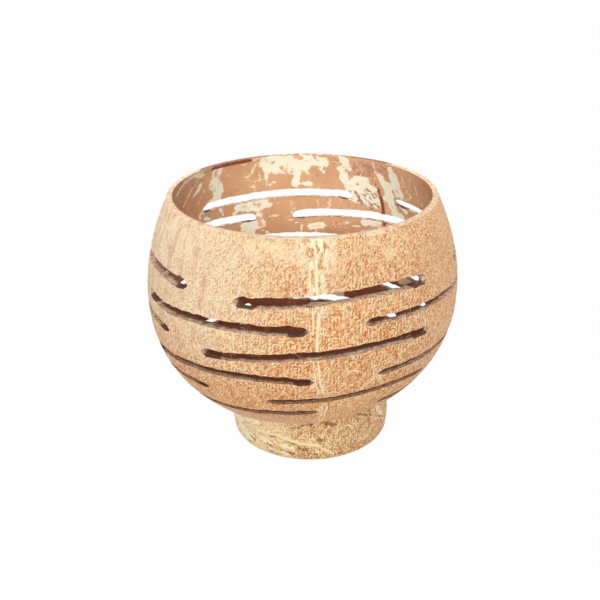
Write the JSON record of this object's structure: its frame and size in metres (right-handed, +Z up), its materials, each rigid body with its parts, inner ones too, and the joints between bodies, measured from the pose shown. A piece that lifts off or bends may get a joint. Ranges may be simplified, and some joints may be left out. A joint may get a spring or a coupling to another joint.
{
  "type": "slotted coconut shell cup",
  "caption": "Round open cup of coconut shell with rows of sawn horizontal slots through its wall, standing on a rounded ring foot cut from a second shell.",
  "frame": {"origin": "on the table under the middle of the cup", "axes": "+Z up through the mouth; -Y towards the front, where a seam of the shell runs down the wall; +X to the right of a viewer at the front"},
  "size_m": [0.1199, 0.1198, 0.1006],
  "materials": {
    "coconut_shell": "sanded and lightly oiled coconut shell",
    "foot_shell": "sanded coconut shell with pale husk remains",
    "dried_glue": "dried amber glue"
  },
  "bodies": {
    "root": {"shell_bowl": "coconut_shell", "foot_ring": "foot_shell", "glue_fillet": "dried_glue"}
  },
  "joints": []
}
